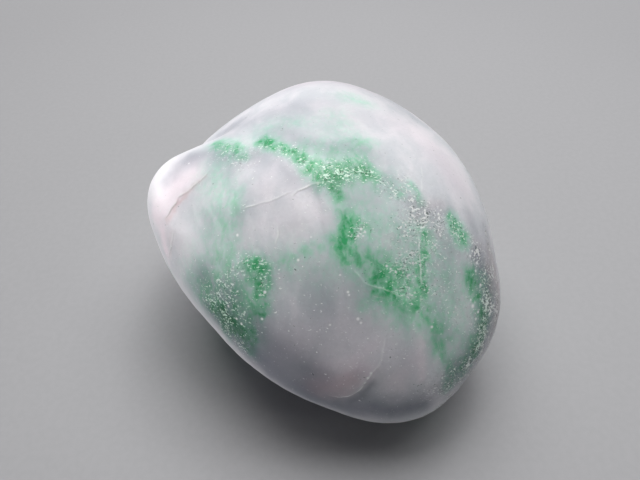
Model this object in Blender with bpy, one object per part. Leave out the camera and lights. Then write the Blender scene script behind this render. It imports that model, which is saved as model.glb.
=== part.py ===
"""A raw jade stone: one water-worn pebble of jadeite, modelled as one closed solid.

Metres, +Z up. The origin lies on the ground, under the middle of the stone's bounding box.
The stone is longest along Y and lowest along Z. It rests on a small worn flat.

Places on the stone are given as seen from its middle: azimuth 0 faces -Y, 90 faces +X,
180 faces +Y, and elevation 90 is straight up.
"""
import math

import bmesh
import bpy
from mathutils import Matrix, Vector

MM = 0.001

# Driving dimensions: the rounded block that the stone was worn from.
HALF_WIDTH = 18.0 * MM
HALF_LENGTH = 25.0 * MM
HALF_HEIGHT = 15.0 * MM
LONG_AXIS_TURN = math.radians(26.5)  # from +Y towards -X
GROUND_DEPTH = 12.9 * MM             # from the stone's middle down to its resting flat

# Broad sides that water wore flatter: (azimuth, elevation, distance from the middle).
WORN_SIDES = {
    "behind_nose": (-119, 54, 14.6 * MM),
    "lower_left": (-65, -20, 19.7 * MM),
    "right": (74, 12, 24.5 * MM),
    "front": (8, 42, 18.6 * MM),
    "crown": (150, 72, 14.9 * MM),
    "back": (172, 0, 23.0 * MM),
    "underside": (0, -90, 14.4 * MM),
    "back_left_low": (-140, -30, 18.5 * MM),
    "back_right_low": (120, -35, 17.5 * MM),
}
WEAR_CRISPNESS = 8  # a higher number leaves firmer edges between the sides

# Rounded swellings and hollows: (azimuth, elevation, rise, spread in degrees).
SWELLINGS = {
    "nose": (-81, 26, 2.7 * MM, 14),
    "under_nose": (-62, 0, 0.8 * MM, 14),
    "notch_behind_nose": (-107, 32, -0.9 * MM, 9),
    "notch_lower": (-120, 12, -0.6 * MM, 11),
    "heel": (26, -25, 2.9 * MM, 14),
    "right_cheek": (57, -9, 1.6 * MM, 11),
    "back_shoulder": (165, 52, 0.8 * MM, 18),
    "back_hollow": (-158, 12, -0.8 * MM, 15),
    "right_back_swelling": (112, -2, 0.6 * MM, 20),
}

MESH_FINENESS = 5  # icosphere subdivisions: about 5,000 triangles, 1.4 mm across

JADE_COLOUR = (0.62, 0.66, 0.66, 1.0)
JADE_ROUGHNESS = 0.42


def clear_scene():
    """Remove every object that the file starts with."""
    for existing in list(bpy.data.objects):
        bpy.data.objects.remove(existing, do_unlink=True)


def direction(azimuth, elevation):
    """Unit vector from the stone's middle towards a place on its skin."""
    turn = math.radians(azimuth)
    rise = math.radians(elevation)
    level = math.cos(rise)
    return Vector((math.sin(turn) * level, -math.cos(turn) * level, math.sin(rise)))


def block_reach(heading):
    """Distance from the middle to the skin of the unworn ellipsoidal block."""
    along = Matrix.Rotation(-LONG_AXIS_TURN, 3, "Z") @ heading
    scaled = Vector((along.x / HALF_WIDTH, along.y / HALF_LENGTH, along.z / HALF_HEIGHT))
    return 1 / scaled.length


def worn_reach(heading):
    """Distance to the nearest of the block's skin and its worn sides, edges rounded off."""
    closeness = block_reach(heading) ** -WEAR_CRISPNESS
    for azimuth, elevation, distance in WORN_SIDES.values():
        facing = heading.dot(direction(azimuth, elevation))
        if facing > 0:
            closeness += (facing / distance) ** WEAR_CRISPNESS
    return closeness ** (-1 / WEAR_CRISPNESS)


def swelling(heading):
    """Height that the swellings and hollows add along one heading."""
    height = 0.0
    for azimuth, elevation, rise, spread in SWELLINGS.values():
        away = math.degrees(heading.angle(direction(azimuth, elevation)))
        height += rise * math.exp(-0.5 * (away / spread) ** 2)
    return height


def shape_skin(mesh):
    """Move the vertices of a unit ball onto the stone's worn skin."""
    stretch = Matrix.Diagonal((HALF_WIDTH, HALF_LENGTH, HALF_HEIGHT))
    block = Matrix.Rotation(LONG_AXIS_TURN, 3, "Z") @ stretch
    for vertex in mesh.verts:
        heading = (block @ vertex.co).normalized()
        vertex.co = heading * (worn_reach(heading) + swelling(heading))


def wear_resting_flat(mesh):
    """Press the lowest part of the skin flat, as one face, and stand it on the ground."""
    for vertex in mesh.verts:
        vertex.co.z = max(vertex.co.z + GROUND_DEPTH, 0.0)
    pressed = [face for face in mesh.faces if all(v.co.z == 0.0 for v in face.verts)]
    bmesh.ops.dissolve_faces(mesh, faces=pressed, use_verts=True)


def centre_on_ground(mesh):
    """Slide the stone so that the middle of its bounding box is over the origin."""
    for axis in (0, 1):
        places = [vertex.co[axis] for vertex in mesh.verts]
        middle = (min(places) + max(places)) / 2
        for vertex in mesh.verts:
            vertex.co[axis] -= middle


def jade_material():
    """Pale, waxy, slightly glossy stone."""
    material = bpy.data.materials.new("jade")
    material.use_nodes = True
    shader = material.node_tree.nodes["Principled BSDF"]
    shader.inputs["Base Color"].default_value = JADE_COLOUR
    shader.inputs["Roughness"].default_value = JADE_ROUGHNESS
    shader.inputs["Metallic"].default_value = 0.0
    return material


def build_stone():
    """Make the stone's mesh and object."""
    mesh = bmesh.new()
    bmesh.ops.create_icosphere(mesh, subdivisions=MESH_FINENESS, radius=1.0)
    shape_skin(mesh)
    wear_resting_flat(mesh)
    centre_on_ground(mesh)
    stone_mesh = bpy.data.meshes.new("jade_stone")
    mesh.to_mesh(stone_mesh)
    mesh.free()
    stone_mesh.shade_smooth()
    stone_mesh.materials.append(jade_material())
    stone = bpy.data.objects.new("jade_stone", stone_mesh)
    bpy.context.scene.collection.objects.link(stone)
    return stone


def main():
    clear_scene()
    build_stone()


main()
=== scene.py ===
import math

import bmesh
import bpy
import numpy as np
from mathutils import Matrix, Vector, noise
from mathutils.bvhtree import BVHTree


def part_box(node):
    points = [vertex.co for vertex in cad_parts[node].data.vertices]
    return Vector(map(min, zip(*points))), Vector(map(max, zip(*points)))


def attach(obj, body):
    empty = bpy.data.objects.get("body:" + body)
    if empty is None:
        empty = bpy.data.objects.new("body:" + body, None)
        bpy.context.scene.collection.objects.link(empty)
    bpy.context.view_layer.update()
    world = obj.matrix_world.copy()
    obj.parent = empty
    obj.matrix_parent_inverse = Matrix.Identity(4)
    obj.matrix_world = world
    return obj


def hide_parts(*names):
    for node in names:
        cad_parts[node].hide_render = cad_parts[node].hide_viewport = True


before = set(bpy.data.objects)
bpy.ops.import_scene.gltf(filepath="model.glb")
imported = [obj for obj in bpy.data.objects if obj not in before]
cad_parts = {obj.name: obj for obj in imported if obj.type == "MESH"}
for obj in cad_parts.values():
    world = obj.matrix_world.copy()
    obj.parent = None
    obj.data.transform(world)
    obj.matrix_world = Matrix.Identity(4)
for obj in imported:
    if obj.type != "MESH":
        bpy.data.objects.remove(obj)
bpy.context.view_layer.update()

# The looks of a raw jade stone: pale, waxy jadeite with grainy green veins, chipped steps
# and sugary, frosted patches. The CAD stone stays as the frame; a finer skin stands for it.
# Marks that the photograph shows are placed by its pixels. Marks on the hidden sides are
# placed by heading from the stone's middle: (azimuth, elevation) in degrees, where azimuth
# 0 faces -Y, 90 faces +X and 180 faces +Y.

MM = 0.001
STONE = "jade_stone"

# ---------------------------------------------------------------- the photograph's view
PHOTO_WIDTH, PHOTO_HEIGHT = 640, 480
FOCAL_PIXELS = 528
SENSOR_WIDTH = 36.0                        # mm
NEAREST_SEEN, FARTHEST_SEEN = 1 * MM, 10.0
CAMERA_PLACE = Vector((-0.1, -45.4, 56.8)) * MM
CAMERA_DIP = math.radians(45.8)            # how far below level the camera looks


def add_camera():
    """Place the camera as the photograph's was: close to the stone and looking down."""
    lens = bpy.data.cameras.new("view")
    lens.sensor_width = SENSOR_WIDTH
    lens.lens = FOCAL_PIXELS / PHOTO_WIDTH * SENSOR_WIDTH
    lens.clip_start = NEAREST_SEEN
    lens.clip_end = FARTHEST_SEEN
    camera = bpy.data.objects.new("view", lens)
    camera.location = CAMERA_PLACE
    camera.rotation_euler = (math.pi / 2 - CAMERA_DIP, 0, 0)
    bpy.context.scene.collection.objects.link(camera)
    bpy.context.scene.camera = camera
    bpy.context.view_layer.update()
    return camera


def sight_line(camera, x, y):
    """Direction from the camera through one pixel of the photograph."""
    across = (x - PHOTO_WIDTH / 2) / FOCAL_PIXELS
    down = (y - PHOTO_HEIGHT / 2) / FOCAL_PIXELS
    return (camera.matrix_world.to_3x3() @ Vector((across, -down, -1))).normalized()


def heading(azimuth, elevation):
    """Direction from the stone's middle towards a place on its skin."""
    turn, rise = math.radians(azimuth), math.radians(elevation)
    level = math.cos(rise)
    return Vector((math.sin(turn) * level, -math.cos(turn) * level, math.sin(rise)))


# ---------------------------------------------------------------- marks on the stone
# A brushed mark is a named stroke: (strength, [(x, y, half width in mm), ...]), with x and
# y in the photograph. A hidden mark has azimuth and elevation in their place.

# Green veins.
SEEN_VEINS = {
    # The main band, from the notch to the knot.
    "top_left_patch": (0.58, [(219, 143, 0.9), (226, 146, 1.0), (236, 150, 0.8), (245, 157, 0.5)]),
    "main_band": (0.95, [(263, 141, 0.7), (270, 144, 0.8), (280, 148, 0.6), (290, 152, 0.45),
                         (300, 156, 0.5)]),
    "main_band_wide": (0.85, [(303, 159, 0.6), (314, 168, 0.85), (325, 175, 0.95), (334, 180, 0.9)]),
    "knot": (1.00, [(336, 173, 1.0), (348, 170, 1.3), (358, 170, 1.2), (366, 175, 0.9)]),
    "knot_tail": (0.25, [(374, 180, 0.6), (386, 186, 0.7), (398, 190, 0.6)]),
    "right_of_knot": (0.12, [(380, 174, 1.3), (394, 186, 1.3)]),
    "above_band": (0.28, [(308, 147, 1.2), (328, 152, 1.3), (350, 150, 1.5), (366, 142, 1.0)]),
    # The branch below the knot, the crescent and its tail.
    "branch_upper": (0.58, [(336, 186, 0.5), (340, 202, 0.6), (343, 216, 0.6)]),
    "branch_deep": (0.80, [(347, 226, 0.8), (345, 238, 0.9), (345, 250, 0.8)]),
    "branch_side": (0.55, [(354, 225, 0.6), (362, 230, 0.5)]),
    "branch_lower": (0.62, [(350, 256, 0.9), (362, 265, 1.0), (376, 272, 1.0)]),
    "crescent_above": (0.52, [(386, 274, 1.0), (396, 278, 1.0), (406, 284, 0.8)]),
    "crescent_deep": (1.00, [(380, 288, 0.6), (387, 290, 0.8), (396, 294, 0.5)]),
    "crescent_below": (0.38, [(384, 299, 0.4), (398, 302, 0.6), (412, 306, 0.9)]),
    "below_crescent": (0.24, [(366, 300, 1.0), (392, 312, 1.2), (412, 322, 1.2)]),
    "crescent_tail": (0.40, [(418, 312, 0.9), (430, 320, 0.9), (438, 334, 0.9), (441, 348, 0.8)]),
    "tail_foot": (0.35, [(444, 356, 0.6), (450, 370, 0.6), (450, 386, 0.6)]),
    "middle_wash": (0.22, [(362, 205, 1.6), (374, 228, 2.0), (380, 252, 2.0), (400, 270, 1.6)]),
    # The right side.
    "right_line_start": (0.36, [(410, 184, 0.4), (417, 191, 0.4), (421, 202, 0.4)]),
    "right_upright": (0.62, [(424, 232, 0.5), (425, 250, 0.5), (424, 268, 0.5), (422, 284, 0.6),
                             (424, 297, 0.6)]),
    "right_wash": (0.21, [(415, 235, 1.8), (440, 262, 2.0), (448, 300, 2.2), (455, 330, 1.6)]),
    "shoulder": (0.66, [(451, 218, 0.6), (457, 229, 0.8), (463, 240, 0.7)]),
    "rim_patch": (0.75, [(471, 274, 0.7), (474, 285, 0.8)]),
    "rim_line": (0.60, [(478, 296, 0.5), (484, 314, 0.5), (483, 332, 0.6), (475, 350, 0.6)]),
    "rim_dark": (0.45, [(484, 286, 1.2), (484, 314, 1.3), (474, 346, 1.3), (462, 368, 1.2)]),
    # The left side.
    "left_strong": (1.00, [(252, 266, 0.9), (259, 272, 0.9)]),
    "left_strong_tail": (0.62, [(262, 283, 0.7), (263, 297, 0.7), (258, 308, 0.8)]),
    "left_green_fleck": (0.70, [(258, 320, 0.25), (264, 317, 0.25)]),
    "left_low": (1.00, [(220, 312, 1.2), (229, 322, 1.6), (240, 330, 1.2)]),
    "left_foot": (0.40, [(250, 330, 1.0), (247, 348, 0.9)]),
    "left_between": (0.45, [(240, 300, 1.8)]),
    "left_upright": (0.20, [(238, 196, 0.8), (234, 214, 1.0), (229, 234, 1.2), (227, 255, 1.1)]),
    "left_body": (0.22, [(216, 172, 1.6), (222, 200, 1.8), (215, 228, 2.0), (208, 256, 2.0)]),
    "left_lower_wash": (0.35, [(224, 272, 1.4), (212, 288, 1.6), (206, 300, 1.4)]),
    "left_edge_wash": (0.20, [(192, 280, 1.6), (206, 298, 1.6)]),
    "left_to_middle": (0.25, [(285, 262, 0.8), (301, 250, 0.5), (318, 245, 0.5), (333, 239, 0.5)]),
    "between": (0.14, [(292, 262, 2.0), (318, 268, 2.2)]),
    # The crown.
    "crown_left": (0.16, [(268, 128, 1.8), (295, 122, 1.6)]),
    "crown_wash": (0.20, [(350, 98, 1.4), (368, 104, 1.0)]),
    "crown_cloud": (0.14, [(336, 116, 1.5), (340, 134, 1.7)]),
}
# The same veins carried on over the hidden sides.
HIDDEN_VEINS = {
    # The left side and the underside.
    "over_the_notch": (0.60, [(-113, 13, 0.7), (-118, 5, 1.2), (-122, -4, 0.7), (-129, -14, 1.2),
                              (-133, -25, 0.6)]),
    "notch_wash": (0.28, [(-126, 0, 2.0), (-138, -12, 2.2)]),
    "left_side": (0.40, [(-66, -4, 1.0), (-80, -8, 1.2), (-98, -18, 1.0)]),
    "left_under": (0.90, [(-37, -19, 0.7), (-42, -24, 0.9), (-52, -30, 1.0), (-72, -40, 0.9)]),
    "under_vein": (0.80, [(33, -22, 0.6), (34, -28, 0.8), (30, -40, 1.0), (10, -60, 1.0),
                          (-30, -70, 0.9)]),
    # The back.
    "back_left_wash": (0.25, [(-150, 0, 1.8), (-134, -6, 1.6)]),
    "back_band_high": (0.65, [(-156, 2, 0.4), (-164, 9, 1.0), (-174, 12, 0.5), (178, 13, 0.9)]),
    "back_band_middle": (0.95, [(172, 12, 0.8), (163, 8, 1.2), (155, 3, 0.7)]),
    "back_band_low": (0.70, [(148, -2, 0.9), (139, -9, 0.5), (130, -17, 1.0), (124, -26, 0.7)]),
    "back_band_wash": (0.32, [(-162, 4, 1.8), (168, 10, 2.6), (140, -8, 2.4)]),
    "back_offshoot": (0.50, [(-178, 8, 0.4), (-172, -4, 0.6), (-176, -16, 0.4)]),
    "back_spur": (0.40, [(150, 6, 0.4), (143, 14, 0.6), (138, 20, 0.4)]),
    "crown_to_back": (0.30, [(150, 24, 0.7), (164, 20, 0.8)]),
    # The right side.
    "right_run": (0.70, [(60, -8, 0.5), (68, -14, 0.9), (78, -13, 0.5), (86, -20, 1.0),
                         (94, -27, 0.6)]),
    "right_run_wash": (0.28, [(66, -10, 1.6), (84, -14, 2.0), (98, -22, 1.8)]),
    "right_run_spur": (0.45, [(72, -8, 0.4), (80, -2, 0.6), (86, 6, 0.4)]),
    "right_back": (0.50, [(96, 10, 0.7), (110, 4, 0.8), (124, -18, 0.7)]),
    "right_wash": (0.25, [(102, 12, 1.8), (118, 14, 1.8)]),
}
# Sugary ground, where crystals show as white specks, partly painted glints, and pits as dark specks of
# painted shade.
SEEN_FROST = {
    # The main band and the knot.
    "top_left": (0.70, [(224, 148, 1.0), (236, 156, 1.2), (247, 162, 0.9)]),
    "above_notch": (0.30, [(257, 131, 0.7)]),
    "main_band": (0.86, [(266, 146, 0.9), (285, 151, 0.7), (303, 160, 1.0), (320, 174, 1.2)]),
    "knot": (0.90, [(336, 172, 1.2), (350, 169, 1.4), (361, 170, 1.2)]),
    "knot_side": (0.80, [(374, 178, 0.9), (386, 184, 1.0), (398, 189, 1.0)]),
    # The middle and the right side.
    "bright_spot": (1.00, [(357, 236, 0.7), (364, 230, 0.7)]),
    "branch_right": (0.60, [(388, 268, 0.8), (396, 272, 0.8)]),
    "crescent_right": (0.80, [(404, 290, 1.0), (420, 293, 1.0)]),
    "centre_right": (0.86, [(405, 235, 1.5), (420, 232, 1.4), (424, 252, 1.4), (408, 262, 1.5),
                            (416, 284, 1.3)]),
    "right_line": (0.86, [(408, 184, 1.0), (411, 198, 1.1), (416, 210, 1.2)]),
    "right_middle": (0.40, [(438, 250, 2.0), (446, 280, 2.0), (452, 310, 2.0)]),
    "shoulder": (0.84, [(424, 214, 1.2), (440, 220, 1.5), (458, 230, 1.4)]),
    "rim": (0.95, [(472, 246, 1.2), (484, 268, 1.8), (489, 292, 2.2), (487, 318, 2.2), (479, 345, 2.0),
                   (466, 368, 1.8)]),
    "rim_foot": (0.85, [(450, 380, 1.3), (434, 388, 1.3)]),
    # The left side.
    "left_inner": (0.75, [(246, 262, 1.0), (262, 270, 0.9), (264, 292, 0.8)]),
    "left_outer": (0.78, [(236, 276, 1.2), (222, 290, 1.4)]),
    "left_foot": (0.88, [(210, 301, 1.6), (222, 312, 1.8)]),
    "left_foot_low": (0.82, [(226, 330, 0.9), (240, 345, 0.9)]),
    "left_foot_side": (0.80, [(243, 316, 0.8), (248, 326, 0.7)]),
    # The smooth ground at the bottom.
    "sprinkled": (0.12, [(300, 290, 5.2), (350, 320, 5.2), (395, 340, 4.5)]),
}
HIDDEN_FROST = {
    "left_under": (0.90, [(-40, -16, 1.3), (-52, -28, 1.3)]),
    "notch": (0.60, [(-117, 7, 1.0), (-123, -4, 1.0)]),
    "back_upper": (0.50, [(-168, 10, 0.8)]),
    "back_middle": (0.75, [(170, 14, 1.3)]),
    "back_low": (0.90, [(134, -14, 1.5), (126, -24, 1.2)]),
    "back_foot": (0.80, [(-178, -22, 1.4), (-160, -30, 1.2)]),
    "right_side": (0.70, [(62, -10, 1.2), (70, -15, 1.4)]),
    "right_low": (0.60, [(92, -24, 1.6)]),
    "beyond_rim": (0.93, [(66, 16, 1.0), (60, 8, 1.5), (55, 1, 2.0), (49, -5, 2.0), (42, -9, 1.8),
                          (34, -13, 1.4), (26, -17, 0.9)]),
    "scattered": (0.14, [(-160, 8, 6.0), (160, -5, 6.0), (110, 5, 5.0)]),
}
# Pinkish-white clouds.
SEEN_BLUSH = {
    # The nose: pink-white, palest partly as a painted glow of the thin, back-lit nose.
    "nose": (1.00, [(158, 213, 1.3), (166, 199, 1.5), (178, 186, 1.4), (192, 175, 1.1)]),
    "nose_top": (0.35, [(178, 172, 1.2), (194, 162, 1.2)]),
    "nose_low": (0.90, [(163, 232, 0.8), (166, 250, 0.5)]),
    "above_step": (0.20, [(262, 180, 1.8), (290, 172, 1.6)]),
    "under_step": (0.30, [(290, 218, 1.8), (318, 212, 1.4)]),
    "crown": (0.35, [(325, 108, 2.0), (350, 118, 2.0)]),
    "top_right": (0.50, [(408, 128, 2.6), (436, 150, 2.6), (458, 180, 2.2)]),
    "low_middle": (0.25, [(300, 345, 2.5), (340, 340, 2.5)]),
    "lens_top": (0.35, [(316, 367, 0.5), (347, 361, 0.5), (376, 344, 0.5)]),
    "lens": (1.00, [(318, 388, 1.2), (338, 386, 1.4), (358, 372, 1.0)]),
    "bottom_right": (0.45, [(398, 382, 1.3), (412, 362, 1.0)]),
    # A painted highlight along a convex fold.
    "fold_highlight": (0.60, [(421, 338, 0.4), (422, 358, 0.45), (421, 380, 0.4)]),
}
HIDDEN_BLUSH = {
    "back_top": (0.50, [(-170, 34, 2.6), (160, 36, 2.5)]),
    "back_left": (0.70, [(-118, -4, 2.4), (-132, -18, 2.2)]),
    "right_back": (0.60, [(112, -8, 2.0), (122, 20, 2.2)]),
}
# Greyer, glassier ground that takes in more light, and painted shade: along the outline, the left
# edge, the lower front and the foot, much of this darkening is painted shade.
SEEN_SMOKE_AND_SHADE = {
    # The nose, the notch and the crown, with painted shade along the outline.
    "nose_edge": (0.44, [(162, 183, 0.8), (174, 172, 1.0), (190, 157, 1.0)]),
    "nose_top": (0.50, [(196, 158, 1.2), (212, 152, 1.4), (240, 160, 1.4)]),
    "notch_edge": (0.36, [(220, 134, 1.2), (238, 122, 1.4)]),
    "crown_left": (0.44, [(226, 132, 1.8), (246, 124, 2.6), (268, 116, 3.0), (292, 110, 3.0)]),
    "crown": (0.08, [(318, 128, 2.2), (350, 116, 2.2), (384, 122, 2.0)]),
    "right_top": (0.22, [(440, 160, 2.0), (458, 188, 1.8)]),
    # The main band, the knot and the step.
    "patch": (0.14, [(222, 146, 1.2)]),
    "above_band": (0.50, [(278, 132, 1.5), (298, 140, 1.4), (326, 148, 1.2), (362, 150, 1.0)]),
    "under_band": (0.42, [(256, 154, 0.8), (272, 161, 1.2), (288, 168, 1.1)]),
    "band_end": (0.30, [(300, 178, 0.9), (340, 184, 0.9), (380, 160, 1.1)]),
    "knot": (0.22, [(338, 172, 1.3), (358, 170, 1.3)]),
    "beside_knot": (0.40, [(370, 192, 1.3), (388, 182, 1.1)]),
    "above_step": (0.20, [(258, 186, 1.4), (288, 178, 1.3)]),
    "step_end": (0.42, [(240, 216, 1.2)]),
    # The left side, down to the outline, darker towards the lower left edge: mostly painted shade.
    "left_top": (0.20, [(212, 168, 1.4), (226, 178, 1.4)]),
    "left_middle": (0.38, [(212, 222, 1.6), (210, 250, 1.8)]),
    "left_body": (0.26, [(208, 220, 1.2), (202, 245, 1.4), (200, 268, 1.3)]),
    "left_upright": (0.20, [(240, 236, 1.4), (246, 256, 1.4)]),
    "left_green": (0.18, [(258, 276, 1.2)]),
    "left_inner": (0.22, [(240, 282, 1.2), (268, 282, 1.0), (268, 300, 1.0)]),
    "left_wash": (0.64, [(206, 278, 1.4), (232, 296, 1.5)]),
    "left_low": (1.00, [(222, 314, 1.6), (234, 329, 1.6)]),
    "left_edge_top": (0.50, [(194, 288, 1.8)]),
    "left_edge": (1.00, [(208, 308, 1.2), (230, 332, 1.3), (256, 356, 1.4), (300, 388, 1.2)]),
    "low_left": (0.78, [(256, 328, 1.8), (284, 356, 2.2), (312, 374, 1.8)]),
    "lower_left": (0.85, [(252, 352, 1.6), (275, 372, 1.8), (305, 392, 1.6)]),
    # The middle.
    "between": (0.29, [(285, 270, 1.8), (315, 290, 2.6)]),
    "left_of_branch": (0.25, [(332, 215, 0.9), (352, 196, 1.0)]),
    "below_branch": (0.30, [(360, 290, 1.0)]),
    "middle": (0.22, [(345, 300, 2.0), (368, 320, 1.8)]),
    "low_middle": (0.26, [(320, 335, 2.6), (355, 345, 2.6), (400, 362, 2.2)]),
    # The right side.
    "centre_right": (0.16, [(412, 204, 1.0), (418, 235, 1.6), (438, 222, 1.3)]),
    "shoulder_to_rim": (0.30, [(411, 198, 1.0), (474, 284, 0.8)]),
    "right_middle": (0.24, [(448, 262, 1.6), (450, 290, 1.6)]),
    "right_low": (0.16, [(400, 368, 1.6)]),
    "shoulder": (0.42, [(421, 207, 0.8), (434, 212, 1.0), (448, 211, 0.8)]),
    "rim_top": (0.40, [(470, 218, 0.8), (478, 238, 0.9), (486, 254, 1.0)]),
    "rim": (0.90, [(476, 256, 1.0), (488, 284, 1.6), (488, 314, 1.8), (478, 346, 1.8),
                   (461, 372, 1.5)]),
    "tail_upper": (0.24, [(440, 336, 1.4)]),
    "tail": (0.55, [(447, 384, 1.0), (453, 370, 0.9)]),
    # The lens-shaped scar and the foot: painted shade beside the scar's lip and along the foot.
    "lens": (0.45, [(322, 388, 1.3), (342, 388, 1.3), (358, 376, 0.9)]),
    "right_of_lens": (0.60, [(372, 387, 0.4), (365, 397, 0.5), (354, 404, 0.5)]),
    "foot": (1.00, [(300, 390, 1.2), (345, 408, 1.6), (385, 412, 1.9), (420, 406, 1.5)]),
}
HIDDEN_SMOKE_AND_SHADE = {
    "left": (0.22, [(-84, -6, 2.0), (-100, -12, 2.0)]),
    "over_notch": (0.22, [(-142, 24, 3.2), (-124, 10, 3.2)]),
    "back_top": (0.34, [(-162, 38, 3.0), (175, 36, 3.2), (150, 36, 2.6), (125, 36, 2.4)]),
    "back_high": (0.36, [(-150, 18, 2.4), (178, 0, 2.6)]),
    # Painted shade: back_wide greys the back where the lamps fall brightest.
    "back_wide": (0.26, [(-145, 6, 4.0), (-172, 16, 4.0), (165, 12, 4.0), (140, 6, 4.0),
                         (115, 6, 3.5)]),
    "back_low": (0.36, [(-165, -28, 2.4), (160, -30, 2.4)]),
    "back_right": (0.29, [(128, 8, 2.2), (118, -12, 2.2)]),
    "right": (0.36, [(88, 8, 2.2), (104, -4, 2.0)]),
    "beyond_rim": (0.50, [(66, 16, 1.2), (60, 7, 1.8), (53, -1, 2.0), (45, -7, 2.0), (36, -12, 1.8)]),
    # Painted shade around the foot and under the stone, carried on from the lower front.
    "foot_band": (0.70, [(-68, -16, 2.4), (-48, -24, 3.0), (-26, -31, 3.2), (0, -37, 3.4),
                         (28, -36, 3.2), (48, -28, 2.6)]),
    "underside": (0.50, [(-60, -44, 4.0), (-20, -52, 4.5), (25, -56, 4.5), (60, -44, 4.0)]),
}
# Weathered, brownish stain along cracks, in the sugary rim and in the lens-shaped scar.
SEEN_STAIN = {
    "nose_crack": (0.45, [(205, 176, 0.25), (192, 188, 0.25), (177, 201, 0.25), (166, 220, 0.3)]),
    "nose_low_crack": (0.15, [(172, 232, 0.25), (170, 254, 0.25)]),
    "shoulder": (0.15, [(421, 203, 0.6), (440, 204, 0.6)]),
    "rim_top": (0.15, [(470, 238, 0.6), (482, 250, 0.6)]),
    "rim": (0.55, [(488, 268, 0.6), (491, 286, 0.6), (489, 304, 0.5)]),
    "lens": (0.34, [(318, 391, 1.2), (334, 390, 1.3), (350, 383, 1.0)]),
}
HIDDEN_STAIN = {
    "back_flake": (0.40, [(-168, 14, 0.4), (-158, 6, 0.4), (-146, -6, 0.4)]),
    "back_low": (0.30, [(134, -18, 1.0), (126, -26, 0.8)]),
    "right_flake": (0.35, [(100, 6, 0.4), (112, -6, 0.4)]),
    "beyond_rim": (0.50, [(62, 12, 0.8), (58, 4, 1.0), (52, -3, 0.9)]),
}

# Chips and cracks: the lip as a path, the side of it that lies lower (1 is the right hand
# when walking the path, -1 the left), the sharp drop at the lip, the soft hollow beyond it
# and the run over which both heal, in mm, and how light the lip and how dark its foot are.
# The light line is a painted highlight along a lip and the pale fill of a seam; the dark
# line is painted shadow at a lip's foot, with the dark hairline of a crack.
SEEN_CHIPS = {
    "nose": dict(path=[(212, 168), (205, 176), (200, 181), (194, 185), (188, 191), (178, 197),
                       (176, 202), (168, 214), (164, 221)],
                 low=-1, drop=0.04, hollow=0.16, run=2.2, light=0.6, dark=0.30),
    "nose_low": dict(path=[(173, 228), (172, 240), (170, 250), (169, 259)],
                     low=-1, drop=0.02, hollow=0.08, run=1.6, light=0.6, dark=0.12),
    "upper_step_left": dict(path=[(241, 210), (247, 207), (256, 205), (266, 202), (277, 198),
                                  (288, 193), (294, 191)],
                            low=1, drop=0.03, hollow=0.20, run=3.0, light=1.0, dark=0.15),
    "upper_step_right": dict(path=[(295, 192), (302, 189), (309, 186), (317, 183), (323, 183)],
                             low=1, drop=0.04, hollow=0.20, run=3.0, light=1.0, dark=0.30),
    "step_hook": dict(path=[(292, 197), (294, 194), (297, 191)],
                      low=1, drop=0.02, hollow=0.0, run=0.5, light=0.8, dark=0.3),
    "scar_crack": dict(path=[(277, 223), (278, 232), (277, 238), (274, 246)],
                       low=-1, drop=0.02, hollow=0.05, run=1.0, light=0.6, dark=0.12),
    "crescent": dict(path=[(351, 264), (357, 272), (363, 281), (372, 286), (382, 288),
                           (390, 291), (399, 295), (410, 294), (414, 297)],
                     low=-1, drop=0.03, hollow=0.08, run=2.0, light=0.45, dark=0.0),
    "crescent_second": dict(path=[(360, 287), (368, 293), (380, 298), (392, 300)],
                            low=-1, drop=0.02, hollow=0.03, run=0.8, light=0.1, dark=0.25),
    "lens_side": dict(path=[(385, 336), (384, 349), (381, 361), (377, 369)],
                      low=-1, drop=0.02, hollow=0.04, run=1.0, light=0.30, dark=0.0),
    "lens_lip": dict(path=[(381, 361), (377, 368), (372, 374), (368, 379), (364, 385),
                           (359, 391), (351, 396), (340, 398), (326, 395)],
                     low=-1, drop=0.10, hollow=0.32, run=1.2, light=1.0, dark=0.15),
    "upper_seam": dict(path=[(421, 164), (421, 180), (422, 196)],
                       low=1, drop=0.01, hollow=0.02, run=0.8, light=0.40, dark=0.0),
    "healed_seam": dict(path=[(418, 228), (420, 250), (421, 270), (423, 290)],
                        low=-1, drop=0.01, hollow=0.02, run=0.6, light=0.9, dark=0.0),
}
HIDDEN_CHIPS = {
    "back_flake": dict(path=[(-172, 17), (-161, 8), (-149, -2), (-140, -14)],
                       low=1, drop=0.16, hollow=0.40, run=3.5, light=0.6, dark=0.4),
    "right_flake": dict(path=[(98, 8), (106, 0), (116, -8), (126, -14)],
                        low=1, drop=0.12, hollow=0.30, run=3.0, light=0.6, dark=0.4),
    "left_flake": dict(path=[(-95, 8), (-104, -2), (-112, -14)],
                       low=-1, drop=0.10, hollow=0.25, run=2.5, light=0.6, dark=0.4),
    "back_crack": dict(path=[(-142, 3), (-136, -6), (-139, -14), (-132, -22), (-134, -30)],
                       low=1, drop=0.03, hollow=0.05, run=1.0, light=0.7, dark=0.4),
    "left_crack": dict(path=[(-68, 0), (-77, -4), (-83, -13), (-92, -20)],
                       low=-1, drop=0.03, hollow=0.06, run=1.2, light=0.7, dark=0.4),
    "back_low_flake": dict(path=[(165, -20), (150, -30), (132, -32)],
                           low=-1, drop=0.12, hollow=0.25, run=2.5, light=0.5, dark=0.3),
}
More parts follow.
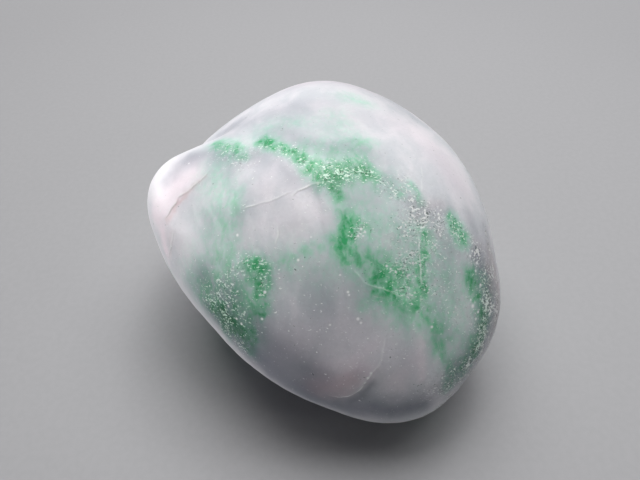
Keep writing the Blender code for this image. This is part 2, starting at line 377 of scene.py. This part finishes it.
# Single white flecks that stand out, and a painted highlight: (x, y, radius in mm).
SEEN_FLECKS = [
    (470, 256, 0.12), (472, 251, 0.12), (477, 263, 0.16), (476, 271, 0.12), (481, 285, 0.14),
    (471, 300, 0.12), (473, 306, 0.20), (478, 312, 0.14), (476, 319, 0.12),
    (348, 292, 0.12), (349, 295, 0.10), (340, 275, 0.09), (330, 325, 0.10), (432, 327, 0.13),
    (358, 319, 0.15), (361, 323, 0.12), (311, 237, 0.08), (298, 260, 0.12), (237, 235, 0.13),
    (361, 229, 0.14), (365, 232, 0.10), (358, 236, 0.12), (363, 236, 0.09),
    (387, 266, 0.12), (391, 269, 0.10), (396, 272, 0.12), (413, 263, 0.12),
    (265, 292, 0.15), (262, 319, 0.13), (236, 319, 0.13), (241, 324, 0.12), (228, 306, 0.12),
    # A painted highlight on the lip of the lens-shaped scar.
    (368, 378, 0.14), (371, 373, 0.11), (365, 383, 0.10),
]


# ---------------------------------------------------------------- finding places
LOW_CORNER, HIGH_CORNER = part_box(STONE)
MIDDLE = (LOW_CORNER + HIGH_CORNER) / 2
WELD_DISTANCE = 0.001 * MM
SMOOTHING_ROUNDS = 2
FINER_FADE, FINER_RATIO = 1.0, 2.0         # each finer layer of noise: its fading, its scale
SEED_STEP = (17.3, 5.9, 11.7)              # how far apart in the noise two seeds lie


def cad_surface():
    """The CAD stone with its facets smoothed away, as a surface to lay finer skin on."""
    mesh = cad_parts[STONE].data.copy()
    welded = bmesh.new()
    welded.from_mesh(mesh)
    bmesh.ops.remove_doubles(welded, verts=welded.verts, dist=WELD_DISTANCE)
    welded.to_mesh(mesh)
    welded.free()
    smooth = bpy.data.objects.new("smooth_cad", mesh)
    bpy.context.scene.collection.objects.link(smooth)
    smooth.modifiers.new("smooth", "SUBSURF").levels = SMOOTHING_ROUNDS
    bpy.context.view_layer.update()
    surface = BVHTree.FromObject(smooth, bpy.context.evaluated_depsgraph_get())
    bpy.data.objects.remove(smooth)
    return surface


def ways_to_find(surface, camera):
    """Two ways to find a place on the stone: by pixel of the photograph and by heading."""

    def by_pixel(x, y):
        place = surface.ray_cast(camera.location, sight_line(camera, x, y))[0]
        if place is None:
            raise ValueError(f"pixel {x}, {y} misses the stone")
        return place[:]

    def by_heading(azimuth, elevation):
        return surface.ray_cast(MIDDLE, heading(azimuth, elevation))[0][:]

    return by_pixel, by_heading


def follow(points, path):
    """Nearest place on a path to each point: (distance, share of the way, offset, course)."""
    starts, ends = path[:-1], path[1:]
    lengths = np.linalg.norm(ends - starts, axis=1)
    walked = np.concatenate([[0.0], np.cumsum(lengths)])
    distance = np.full(len(points), np.inf)
    share = np.zeros(len(points))
    offset = np.zeros_like(points)
    course = np.zeros_like(points)
    for start, end, length, before in zip(starts, ends, lengths, walked):
        step = (end - start) / length
        run = np.clip((points - start) @ step, 0, length)
        away = points - start - run[:, None] * step
        reach = np.linalg.norm(away, axis=1)
        closer = reach < distance
        distance[closer] = reach[closer]
        share[closer] = (before + run[closer]) / walked[-1]
        offset[closer] = away[closer]
        course[closer] = step
    return distance, share, offset, course


def smooth_step(values):
    """0 below 0, 1 above 1, and an even S between them."""
    clipped = np.clip(values, 0, 1)
    return clipped * clipped * (3 - 2 * clipped)


def noise_field(points, size, seed, layers=1):
    """Soft noise at each point, about -1 to 1, with lumps of one size in metres."""
    shift = Vector([seed * step for step in SEED_STEP])
    return np.array([noise.fractal(Vector(point) / size + shift, FINER_FADE, FINER_RATIO, layers)
                     for point in points])


def wander(points, size, amount, seed):
    """The points, each pushed aside by soft noise."""
    pushes = [noise_field(points, size, seed + axis) for axis in range(3)]
    return points + amount * np.stack(pushes, axis=1)


# ---------------------------------------------------------------- the skin's mesh
SKIN_FINENESS = 7                          # 81,920 triangles, about 0.3 mm across
LIP_REACHES = (0.9 * MM, 0.55 * MM)        # one round of splitting for each
FLECK_REACH = 0.3 * MM


def even_ball():
    """A ball of even triangles, stretched to the stone's box."""
    ball = bmesh.new()
    bmesh.ops.create_icosphere(ball, subdivisions=SKIN_FINENESS, radius=1.0)
    half = (HIGH_CORNER - LOW_CORNER) / 2
    for vertex in ball.verts:
        vertex.co = MIDDLE + vertex.co * half
    return ball


def lay_on(ball, surface):
    """Slide each vertex along its heading from the middle onto the surface."""
    for vertex in ball.verts:
        vertex.co = surface.ray_cast(MIDDLE, (vertex.co - MIDDLE).normalized())[0]


def corner_places(ball):
    return np.array([vertex.co[:] for vertex in ball.verts])


def split_near(ball, nearness):
    """Split every triangle that has a corner where nearness is true."""
    edges = set()
    for face in ball.faces:
        if any(nearness[vertex.index] for vertex in face.verts):
            edges.update(face.edges)
    bmesh.ops.subdivide_edges(ball, edges=list(edges), cuts=1)
    bmesh.ops.triangulate(ball, faces=[face for face in ball.faces if len(face.verts) > 3])
    ball.verts.index_update()


def near_marks(points, chips, flecks, reach):
    """Whether each point lies near the lip of a chip or near a fleck."""
    near = np.zeros(len(points), bool)
    for chip in chips:
        near |= follow(points, chip["path"])[0] < reach
    for place, _ in flecks:
        near |= np.linalg.norm(points - place, axis=1) < FLECK_REACH
    return near


def fine_skin(surface, chips, flecks):
    """Even skin over the whole stone, split finer along lips and around flecks."""
    ball = even_ball()
    lay_on(ball, surface)
    for reach in LIP_REACHES:
        split_near(ball, near_marks(corner_places(ball), chips, flecks, reach))
        lay_on(ball, surface)
    mesh = bpy.data.meshes.new("jade_skin")
    ball.to_mesh(mesh)
    ball.free()
    mesh.shade_smooth()
    skin = bpy.data.objects.new("jade_skin", mesh)
    bpy.context.scene.collection.objects.link(skin)
    return skin


def read_vectors(items, name):
    values = np.zeros(len(items) * 3, np.float32)
    items.foreach_get(name, values)
    return values.reshape(-1, 3).astype(float)


def write_attribute(mesh, name, values):
    attribute = mesh.attributes.new(name, "FLOAT", "POINT")
    attribute.data.foreach_set("value", np.clip(values, 0, 1).astype(np.float32))


# ---------------------------------------------------------------- relief
# Soft swells, ripples and, where it is frosted, granules: (height, lump size, seed).
SWELLS = (0.09 * MM, 6 * MM, 1)
RIPPLES = (0.025 * MM, 1.6 * MM, 2)
GRANULES = (0.05 * MM, 0.8 * MM, 3)
RELIEF_LAYERS = 2
LIP_WIDTH = 0.12 * MM
LINE_WIDTH = 0.07 * MM
LIGHT_LINE_BACK = 0.6 * LINE_WIDTH         # the light line lies this far up from the lip
LIP_RISE = 0.02                            # mm
END_FADE, HOLLOW_FADE = 0.18, 0.5          # shares of the length over which they die out
LIP_WANDER = (0.7 * MM, 0.10 * MM, 20)     # lump size, amount, seed
LINE_BREAKS = (0.9 * MM, 24)               # lump size, seed
FAINTEST_LINE, LINE_CONTRAST = 0.35, 1.2
SETTLING_HEIGHT = 1.0 * MM                 # near the ground, relief dies out over this height


def fade_ends(share, fade):
    """0 at both ends of a path, 1 between them."""
    return smooth_step(share / fade) * smooth_step((1 - share) / fade)


def chip_relief(points, normals, chip):
    """(depth, light line, dark line) that one chip or crack gives each point. The light line is a
    painted highlight on a lip and a pale fill on a seam; the dark line is painted shadow and a crack's
    dark hairline.
    """
    distance, share, offset, course = follow(points, chip["path"])
    right_hand = np.einsum("ij,ij->i", np.cross(course, normals), offset)
    across = np.where(right_hand * chip["low"] > 0, distance, -distance)
    ends = fade_ends(share, END_FADE)
    healed = np.maximum(across, 0) / (chip["run"] * MM)
    sunk = ends * chip["drop"] * smooth_step(across / LIP_WIDTH) * np.exp(-healed)
    sunk += fade_ends(share, HOLLOW_FADE) * chip["hollow"] * healed * np.exp(1 - healed)
    light = chip["light"] * ends * np.exp(-((across + LIGHT_LINE_BACK) / LINE_WIDTH) ** 2)
    dark = chip["dark"] * ends * np.exp(-((across - LINE_WIDTH) / LINE_WIDTH) ** 2)
    return MM * (sunk - LIP_RISE * light), light, dark


def bumps(points, height, size, seed):
    """Soft relief of one height, with lumps of one size."""
    return height * noise_field(points, size, seed, RELIEF_LAYERS)


def add_relief(points, normals, chips, frost):
    """Raise and lower the skin, and say where the lips' light and dark lines lie: painted highlights
    and the seams' pale fill, painted shadows and dark hairlines.
    """
    height = bumps(points, *SWELLS) + bumps(points, *RIPPLES) + frost * bumps(points, *GRANULES)
    light = np.zeros(len(points))
    dark = np.zeros(len(points))
    ragged = wander(points, *LIP_WANDER)
    breaks = 0.5 + LINE_CONTRAST * noise_field(points, *LINE_BREAKS, RELIEF_LAYERS)
    patchy = FAINTEST_LINE + (1 - FAINTEST_LINE) * smooth_step(breaks)
    for chip in chips:
        depth, lip, foot = chip_relief(ragged, normals, chip)
        height -= depth
        light = np.maximum(light, lip * patchy)
        dark = np.maximum(dark, foot * patchy)
    settled = smooth_step(points[:, 2] / SETTLING_HEIGHT)
    raised = points + normals * (height * settled)[:, None]
    raised[:, 2] = np.maximum(raised[:, 2], 0.0)
    return raised, light, dark


# ---------------------------------------------------------------- painting
# Each kind of brushed mark: what it is called on the mesh, and its seen and hidden marks.
BRUSHED = {
    "frost": (SEEN_FROST, HIDDEN_FROST),
    "green": (SEEN_VEINS, HIDDEN_VEINS),
    "blush": (SEEN_BLUSH, HIDDEN_BLUSH),
    "smoke_and_shade": (SEEN_SMOKE_AND_SHADE, HIDDEN_SMOKE_AND_SHADE),
    "stain": (SEEN_STAIN, HIDDEN_STAIN),
}
BRUSH_FALL = 0.7                           # leaves half the strength at the half width
SPOT_LENGTH = 0.1 * MM                     # a stroke with one place is a dab this long
BROAD_DRIFT = (2.6 * MM, 0.35 * MM, 30)    # lump size, amount, seed
FINE_DRIFT = (0.7 * MM, 0.25 * MM, 40)


def trace_strokes(marks, find):
    """Turn named marks into (strength, path, half widths) in metres."""
    strokes = []
    for strength, places in marks.values():
        path = np.array([find(first, second) for first, second, _ in places])
        if len(path) == 1:
            path = np.array([path[0], path[0] + (SPOT_LENGTH, 0, 0)])
        strokes.append((strength, path, [width * MM for _, _, width in places]))
    return strokes


def brushed(points, strokes):
    """How strongly a group of brushed marks covers each point."""
    bare = np.ones(len(points))
    for strength, path, widths in strokes:
        distance, share, _, _ = follow(points, path)
        width = np.interp(share, np.linspace(0, 1, len(widths)), widths)
        bare *= 1 - strength * np.exp(-BRUSH_FALL * (distance / width) ** 2)
    return 1 - bare


def brush_all(points, by_pixel, by_heading):
    """The cover that each kind of brushed mark gives each point, by name."""
    drifted = wander(wander(points, *BROAD_DRIFT), *FINE_DRIFT)
    covers = {}
    for name, (seen, hidden) in BRUSHED.items():
        strokes = trace_strokes(seen, by_pixel) + trace_strokes(hidden, by_heading)
        covers[name] = brushed(drifted, strokes)
    return covers


def fleck_cover(points, flecks):
    """How strongly the single flecks cover each point: full inside, with a quick edge."""
    cover = np.zeros(len(points))
    for place, radius in flecks:
        cover = np.maximum(cover, np.exp(-(np.linalg.norm(points - place, axis=1) / radius) ** 4))
    return cover


def trace_chips(marks, find):
    """The named chips, each with its path turned into places on the stone."""
    return [dict(chip, path=np.array([find(*place) for place in chip["path"]]))
            for chip in marks.values()]


def make_stone(camera):
    """The whole visible stone: skin, relief and painted attributes."""
    surface = cad_surface()
    by_pixel, by_heading = ways_to_find(surface, camera)
    chips = trace_chips(SEEN_CHIPS, by_pixel) + trace_chips(HIDDEN_CHIPS, by_heading)
    flecks = [(np.array(by_pixel(x, y)), radius * MM) for x, y, radius in SEEN_FLECKS]
    skin = fine_skin(surface, chips, flecks)
    mesh = skin.data
    points = read_vectors(mesh.vertices, "co")
    normals = read_vectors(mesh.vertex_normals, "vector")
    covers = brush_all(points, by_pixel, by_heading)
    raised, light, dark = add_relief(points, normals, chips, covers["frost"])
    covers.update(lip=light, foot=dark, fleck=fleck_cover(points, flecks))
    for name, cover in covers.items():
        write_attribute(mesh, name, cover)
    mesh.vertices.foreach_set("co", raised.astype(np.float32).ravel())
    mesh.update()
    return skin


# ---------------------------------------------------------------- building materials
# Jade splits and streaks along one plane: lumps are narrower across X than along Y and Z.
FOLIATION = (1.35, 0.85, 0.85)
# Crystals lie flat: wider across X than they are tall.
SQUAT = (0.70, 1.0, 1.1)
CRYSTAL_EDGE = 0.05                        # how softly a crystal starts, in levels of noise


class Graph:
    """Short ways to add and wire the nodes of one material."""

    def __init__(self, material):
        material.use_nodes = True
        self.tree = material.node_tree
        self.shader = self.tree.nodes["Principled BSDF"]

    def set(self, socket, value):
        if isinstance(value, bpy.types.NodeSocket):
            self.tree.links.new(value, socket)
        else:
            socket.default_value = value

    def add(self, kind, sockets, **settings):
        node = self.tree.nodes.new(kind)
        for name, value in settings.items():
            setattr(node, name, value)
        for name, value in sockets.items():
            self.set(node.inputs[name], value)
        return node

    def math(self, operation, first, second=0.0, third=0.0):
        node = self.add("ShaderNodeMath", {}, operation=operation)
        for socket, value in zip(node.inputs, (first, second, third)):
            self.set(socket, value)
        return node.outputs[0]

    def times(self, first, second, plus=0.0):
        return self.math("MULTIPLY_ADD", first, second, plus)

    def larger(self, first, second):
        return self.math("MAXIMUM", first, second)

    def mix(self, share, first, second, blend="MIX"):
        """Mix two colours, which a Mix node takes in at sockets 6 and 7."""
        node = self.add("ShaderNodeMix", {}, data_type="RGBA", blend_type=blend)
        for index, value in ((0, share), (6, first), (7, second)):
            self.set(node.inputs[index], value)
        return node.outputs[2]

    def blend(self, share, first, second):
        """Mix two numbers, which a Mix node takes in at sockets 2 and 3."""
        node = self.add("ShaderNodeMix", {}, data_type="FLOAT")
        for index, value in ((0, share), (2, first), (3, second)):
            self.set(node.inputs[index], value)
        return node.outputs[0]

    def spread(self, value, low, high, to_low=0.0, to_high=1.0):
        """A value between low and high, eased into another range."""
        ends = {"Value": value, "From Min": low, "From Max": high, "To Min": to_low,
                "To Max": to_high}
        return self.add("ShaderNodeMapRange", ends, interpolation_type="SMOOTHSTEP").outputs[0]

    def painted(self, name):
        return self.add("ShaderNodeAttribute", {}, attribute_name=name).outputs["Fac"]

    def place(self, stretch=(1, 1, 1), shift=(0, 0, 0)):
        """Where each point lies in the stone, stretched and shifted, in metres."""
        spot = self.add("ShaderNodeTexCoord", {}).outputs["Object"]
        node = self.add("ShaderNodeVectorMath", {}, operation="MULTIPLY_ADD")
        for socket, value in zip(node.inputs, (spot, stretch, shift)):
            self.set(socket, value)
        return node.outputs[0]

    def noise(self, size, detail=3.0, warp=0.0, stretch=(1, 1, 1)):
        sockets = {"Vector": self.place(stretch), "Scale": 1 / size, "Detail": detail,
                   "Distortion": warp}
        return self.add("ShaderNodeTexNoise", sockets).outputs[0]

    def cells(self, size):
        """Voronoi cells: (distance from the cell's middle, the cell's random number)."""
        sockets = {"Vector": self.place(), "Scale": 1 / size}
        cells = self.add("ShaderNodeTexVoronoi", sockets).outputs
        luck = self.add("ShaderNodeSeparateColor", {"Color": cells["Color"]}).outputs["Red"]
        return cells["Distance"], luck

    def squiggles(self, start, size, shift):
        """Small ragged crystals, where soft noise rises above a starting level."""
        sockets = {"Vector": self.place(SQUAT, shift), "Scale": 1 / size, "Detail": 2.0,
                   "Roughness": 0.6, "Distortion": 0.5}
        level = self.add("ShaderNodeTexNoise", sockets).outputs[0]
        return self.spread(self.math("SUBTRACT", level, start), 0.0, CRYSTAL_EDGE)

    def dots(self, spacing, radius, share):
        """Scattered dots: how far apart, how big, and the share of them that shows."""
        distance, luck = self.cells(spacing)
        near = self.spread(distance, 0.5 * radius / spacing, radius / spacing, 1.0, 0.0)
        return self.times(self.math("LESS_THAN", luck, share), near)

    def ramp(self, value, stops):
        node = self.add("ShaderNodeValToRGB", {"Fac": value})
        elements = node.color_ramp.elements
        while len(elements) < len(stops):
            elements.new(0.5)
        for element, (position, colour) in zip(elements, stops):
            element.position = position
            element.color = colour
        return node.outputs[0]


# ---------------------------------------------------------------- jade: its colours
MILKY = (0.82, 0.81, 0.84, 1)
GLASSY = (0.70, 0.72, 0.75, 1)
# The smoky colour is also used as painted shade.
SMOKY_AND_SHADED = (0.36, 0.38, 0.43, 1)
BLUSHED = (0.95, 0.85, 0.90, 1)
RUSTY = (0.88, 0.70, 0.66, 1)
WHITE = (0.97, 0.99, 0.98, 1)
MINTY = (0.70, 0.96, 0.79, 1)
HAIRLINE_AND_SHADOW = (0.22, 0.20, 0.18, 1)
PIT_SHADE = (0.36, 0.42, 0.39, 1)
# What the green takes out of the light, by how strong the vein is.
GREEN_FILTER = ((0.0, (1.0, 1.0, 1.0, 1)), (0.25, (0.72, 0.97, 0.84, 1)),
                (0.55, (0.40, 0.87, 0.57, 1)), (1.0, (0.08, 0.59, 0.23, 1)))
CLOUD_SIZE, CLOUD_LEVELS = 3.6 * MM, (0.36, 0.64)
STREAK_SIZE, STREAK_LEVELS = 0.9 * MM, (0.30, 0.70)
STREAK_STRENGTHS = (0.50, 1.35)            # what the palest and greenest streaks multiply by
GRAIN_SIZE = 0.28 * MM
VEIN_SPECKLE, FAINTEST_SPECKLE = 0.40, 0.80
TONE_SPECKLE, PLAIN_SPECKLE = 0.16, 0.04   # grains' contrast in marked and in plain ground
BLUSH_COVER, CRYSTAL_COVER = 0.9, 0.95


def ground_colour(graph):
    """Milky and glassy jade in clouds, with blushed, smoky and stained places; the smoky places hold
    painted shade as well.
    """
    clouds = graph.noise(CLOUD_SIZE, detail=4.0, warp=0.5, stretch=FOLIATION)
    clouds = graph.spread(clouds, *CLOUD_LEVELS)
    ground = graph.mix(clouds, GLASSY, MILKY)
    ground = graph.mix(graph.times(graph.painted("blush"), BLUSH_COVER), ground, BLUSHED)
    # Smoky ground and painted shade, multiplied in.
    ground = graph.mix(graph.painted("smoke_and_shade"), ground, SMOKY_AND_SHADED, "MULTIPLY")
    return graph.mix(graph.painted("stain"), ground, RUSTY, "MULTIPLY")


def vein_strength(graph, grain):
    """How green each place is: the painted vein, broken up by streaks and by grains."""
    streaks = graph.noise(STREAK_SIZE, detail=6.0, warp=0.4, stretch=FOLIATION)
    streaks = graph.spread(streaks, *STREAK_LEVELS, *STREAK_STRENGTHS)
    speckled = graph.times(grain, VEIN_SPECKLE, FAINTEST_SPECKLE)
    return graph.times(graph.painted("green"), graph.times(streaks, speckled))


def grain_tone(graph, grain):
    """A little lighter or darker on each grain, most of all in veins and frost."""
    marked = graph.larger(graph.painted("frost"), graph.painted("green"))
    contrast = graph.times(marked, TONE_SPECKLE, PLAIN_SPECKLE)
    return graph.times(graph.math("SUBTRACT", grain, 0.5), contrast, 1.0)


def jade_colour(graph, grain, crystals, pits):
    veins = graph.ramp(vein_strength(graph, grain), GREEN_FILTER)
    colour = graph.mix(1.0, ground_colour(graph), veins, "MULTIPLY")
    colour = graph.mix(1.0, colour, grain_tone(graph, grain), "MULTIPLY")
    # Painted shade in the pits.
    colour = graph.mix(pits, colour, PIT_SHADE, "MULTIPLY")
    # White crystals, mint-white in the veins: partly painted glints.
    crystal_white_and_glint = graph.mix(graph.painted("green"), WHITE, MINTY)
    colour = graph.mix(graph.times(crystals, CRYSTAL_COVER), colour, crystal_white_and_glint)
    # Painted shadow at the foot of each lip, with the dark hairlines of cracks.
    colour = graph.mix(graph.painted("foot"), colour, HAIRLINE_AND_SHADOW)
    # A painted highlight along each lip, and the pale fill of the seams.
    colour = graph.mix(graph.painted("lip"), colour, WHITE)
    # White flecks, and a painted highlight on the scar's lip.
    return graph.mix(graph.painted("fleck"), colour, WHITE)


# ---------------------------------------------------------------- jade: its crystals
# Frost is brushed on and gathers in clumps. Crystals and pits show where noise rises above
# a starting level, which frost brings down: coarse ones only in the strongest frost.
CLUMP_SIZE, CLUMP_LEVELS, CLUMP_STRENGTHS = 1.1 * MM, (0.35, 0.62), (0.66, 1.12)
FINE_START, FINE_FALL = 0.70, -0.175
COARSE_START, COARSE_FALL, COARSE_POWER = 0.71, -0.165, 6.0
PITS_LATER = 0.055                         # fine pits start this much above fine crystals
# Lump size and the shift that keeps one pattern off another.
COARSE_CRYSTALS = (0.34 * MM, (0, 0, 0))
FINE_CRYSTALS = (0.20 * MM, (0.01, 0.02, 0.03))
COARSE_PITS = (0.28 * MM, (0.03, 0.01, 0.02))
FINE_PITS = (0.18 * MM, (0.02, 0.03, 0.01))
SPECK_SPACING, SPECK_RADIUS = 0.42 * MM, 0.08 * MM
SPECK_FROST, SPECK_SHARES = (0.0, 0.3), (0.02, 0.25)


def crystals_and_pits(graph):
    """(crystals, pits): where white crystals stand up and where dark pits lie."""
    clumps = graph.spread(graph.noise(CLUMP_SIZE, detail=2.0), *CLUMP_LEVELS, *CLUMP_STRENGTHS)
    frost = graph.times(graph.painted("frost"), clumps)
    fine = graph.times(frost, FINE_FALL, FINE_START)
    coarse = graph.times(graph.math("POWER", frost, COARSE_POWER), COARSE_FALL, COARSE_START)
    specks = graph.dots(SPECK_SPACING, SPECK_RADIUS,
                        graph.spread(frost, *SPECK_FROST, *SPECK_SHARES))
    crystals = graph.larger(graph.squiggles(coarse, *COARSE_CRYSTALS),
                            graph.squiggles(fine, *FINE_CRYSTALS))
    pits = graph.larger(graph.squiggles(coarse, *COARSE_PITS),
                        graph.squiggles(graph.math("ADD", fine, PITS_LATER), *FINE_PITS))
    return graph.larger(crystals, specks), pits


# ---------------------------------------------------------------- jade: its finish
WEAR_SIZE, WEAR_LEVELS = 1.4 * MM, (0.3, 0.7)
WORN_ROUGHNESS, GRAIN_ROUGHNESS, CRYSTAL_ROUGHNESS = (0.34, 0.46), 0.08, 0.11
SATIN_SIZE, DIMPLE_SIZE = 0.16 * MM, 0.6 * MM
# Heights of the bump, in mm.
SATIN_HEIGHT, DIMPLE_HEIGHT, CRYSTAL_HEIGHT, PIT_HEIGHT = 0.005, 0.016, 0.032, -0.02
JADE_IOR = 1.5
INNER_GLOW = 0.8                           # share of the light that passes under the skin
GLOW_REACH = 5.0 * MM
GLOW_COLOUR = (1.0, 1.05, 1.0)


def jade_roughness(graph, grain, crystals):
    """A satin skin, worn unevenly, with glossy crystal faces."""
    worn = graph.spread(graph.noise(WEAR_SIZE, detail=4.0), *WEAR_LEVELS, *WORN_ROUGHNESS)
    grainy = graph.times(graph.math("SUBTRACT", grain, 0.5), GRAIN_ROUGHNESS, worn)
    return graph.blend(crystals, grainy, CRYSTAL_ROUGHNESS)


def jade_bump(graph, crystals, pits):
    """Fine satin and dimples, raised crystals and sunken pits."""
    satin = graph.times(graph.noise(SATIN_SIZE), SATIN_HEIGHT)
    height = graph.times(graph.noise(DIMPLE_SIZE, detail=2.0), DIMPLE_HEIGHT, satin)
    height = graph.times(crystals, CRYSTAL_HEIGHT, height)
    height = graph.times(pits, PIT_HEIGHT, height)
    sockets = {"Height": height, "Distance": MM, "Strength": 1.0}
    return graph.add("ShaderNodeBump", sockets).outputs[0]


def jade_material():
    material = bpy.data.materials.new("jade")
    graph = Graph(material)
    grain = graph.cells(GRAIN_SIZE)[1]
    crystals, pits = crystals_and_pits(graph)
    inputs = graph.shader.inputs
    graph.set(inputs["Base Color"], jade_colour(graph, grain, crystals, pits))
    graph.set(inputs["Roughness"], jade_roughness(graph, grain, crystals))
    graph.set(inputs["Normal"], jade_bump(graph, crystals, pits))
    inputs["IOR"].default_value = JADE_IOR
    inputs["Subsurface Weight"].default_value = INNER_GLOW
    inputs["Subsurface Radius"].default_value = GLOW_COLOUR
    inputs["Subsurface Scale"].default_value = GLOW_REACH
    return material


# ---------------------------------------------------------------- the studio
FLOOR_HALF = 3.0
BACKDROP_REACH = 2.9
PALE = 0.42                                # brightness of the backdrop and the far floor
FAR_FLOOR = (0.10, 0.32)                   # from here to here the lights' pool is filled up
FLOOR_COLOUR = (0.46, 0.46, 0.47, 1)
FLOOR_FLECK_COLOUR = (0.4738, 0.4738, 0.4841, 1)
FLOOR_FLECK_SIZE, FLOOR_FLECK_LEVELS = 0.8 * MM, (0.3, 0.7)
FLOOR_ROUGHNESS = 0.9
NO_LIGHT, FULL_LIGHT = (0, 0, 0, 1), (1, 1, 1, 1)
ROOM_LIGHT = (0.80, 0.84, 0.92, 1)
ROOM_STRENGTH = 0.015
LIT_SPOT = Vector((0, 0, 0.015))
# Softboxes: (place, width, height, watts, colour), in metres. Each faces the stone. The
# glints are small, so that crystal faces sparkle.
SOFTBOXES = {
    "key": ((-0.030, 0.084, 0.259), 0.20, 0.20, 0.53, (1.0, 0.99, 0.99)),
    "right": ((0.077, 0.044, 0.259), 0.16, 0.16, 0.24, (0.99, 0.99, 1.0)),
    "left": ((-0.248, 0.052, 0.054), 0.30, 0.09, 0.48, (1.0, 0.97, 0.99)),
    "back_strip": ((0.04, 0.244, 0.095), 0.50, 0.06, 0.06, (0.88, 0.93, 1.0)),
    "glint_front": ((0.205, -0.110, 0.149), 0.025, 0.025, 0.020, (1.0, 1.0, 1.0)),
    "glint_right": ((0.199, 0.0, 0.182), 0.02, 0.02, 0.014, (1.0, 1.0, 1.0)),
    "glint_back": ((0.050, 0.100, 0.240), 0.025, 0.025, 0.020, (1.0, 1.0, 1.0)),
    "glint_left": ((-0.155, -0.177, 0.145), 0.015, 0.015, 0.008, (1.0, 1.0, 1.0)),
}


def floor_material():
    """Pale and matt, and lit from within far out, where the lights don't reach."""
    material = bpy.data.materials.new("floor")
    graph = Graph(material)
    flecks = graph.spread(graph.noise(FLOOR_FLECK_SIZE), *FLOOR_FLECK_LEVELS)
    away = graph.add("ShaderNodeVectorMath", {0: graph.place()}, operation="LENGTH")
    glow = graph.spread(away.outputs["Value"], *FAR_FLOOR, 0.0, PALE)
    inputs = graph.shader.inputs
    graph.set(inputs["Base Color"], graph.mix(flecks, FLOOR_COLOUR, FLOOR_FLECK_COLOUR))
    graph.set(inputs["Emission Strength"], glow)
    inputs["Emission Color"].default_value = FULL_LIGHT
    inputs["Roughness"].default_value = FLOOR_ROUGHNESS
    inputs["Specular IOR Level"].default_value = 0.0
    return material


def add_floor():
    half = FLOOR_HALF
    corners = [(-half, -half, 0), (half, -half, 0), (half, half, 0), (-half, half, 0)]
    mesh = bpy.data.meshes.new("floor")
    mesh.from_pydata(corners, [], [(0, 1, 2, 3)])
    mesh.materials.append(floor_material())
    floor = bpy.data.objects.new("floor", mesh)
    bpy.context.scene.collection.objects.link(floor)


def backdrop_material():
    material = bpy.data.materials.new("backdrop")
    inputs = Graph(material).shader.inputs
    inputs["Base Color"].default_value = NO_LIGHT
    inputs["Specular IOR Level"].default_value = 0.0
    inputs["Emission Color"].default_value = FULL_LIGHT
    inputs["Emission Strength"].default_value = PALE
    return material


def add_backdrop():
    """A pale dome behind everything, which only the camera sees."""
    ball = bmesh.new()
    bmesh.ops.create_uvsphere(ball, u_segments=48, v_segments=24, radius=BACKDROP_REACH)
    mesh = bpy.data.meshes.new("backdrop")
    ball.to_mesh(mesh)
    ball.free()
    mesh.materials.append(backdrop_material())
    backdrop = bpy.data.objects.new("backdrop", mesh)
    backdrop.visible_diffuse = False
    backdrop.visible_glossy = False
    backdrop.visible_transmission = False
    backdrop.visible_shadow = False
    bpy.context.scene.collection.objects.link(backdrop)


def add_softbox(name, place, width, height, watts, colour):
    light = bpy.data.lights.new(name, "AREA")
    light.shape = "RECTANGLE"
    light.size = width
    light.size_y = height
    light.energy = watts
    light.color = colour
    lamp = bpy.data.objects.new(name, light)
    lamp.location = place
    lamp.rotation_euler = (LIT_SPOT - Vector(place)).to_track_quat("-Z", "Y").to_euler()
    lamp.visible_camera = False
    bpy.context.scene.collection.objects.link(lamp)
    return lamp


def keep_off_floor(lamp, stone):
    """Let a low softbox light the stone alone, or it would leave a streak on the floor."""
    lit = bpy.data.collections.new("lit_by_" + lamp.name)
    lit.objects.link(stone)
    lamp.light_linking.receiver_collection = lit


def light_room(stone):
    """A dim room and the softboxes, shown without any film-like tone curve."""
    world = bpy.data.worlds.new("room")
    world.use_nodes = True
    background = world.node_tree.nodes["Background"]
    background.inputs["Color"].default_value = ROOM_LIGHT
    background.inputs["Strength"].default_value = ROOM_STRENGTH
    bpy.context.scene.world = world
    bpy.context.scene.view_settings.view_transform = "Standard"
    lamps = {name: add_softbox(name, *settings) for name, settings in SOFTBOXES.items()}
    keep_off_floor(lamps["left"], stone)


def main():
    camera = add_camera()
    stone = make_stone(camera)
    stone.data.materials.append(jade_material())
    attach(stone, "root")
    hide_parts(STONE)
    add_floor()
    add_backdrop()
    light_room(stone)


main()
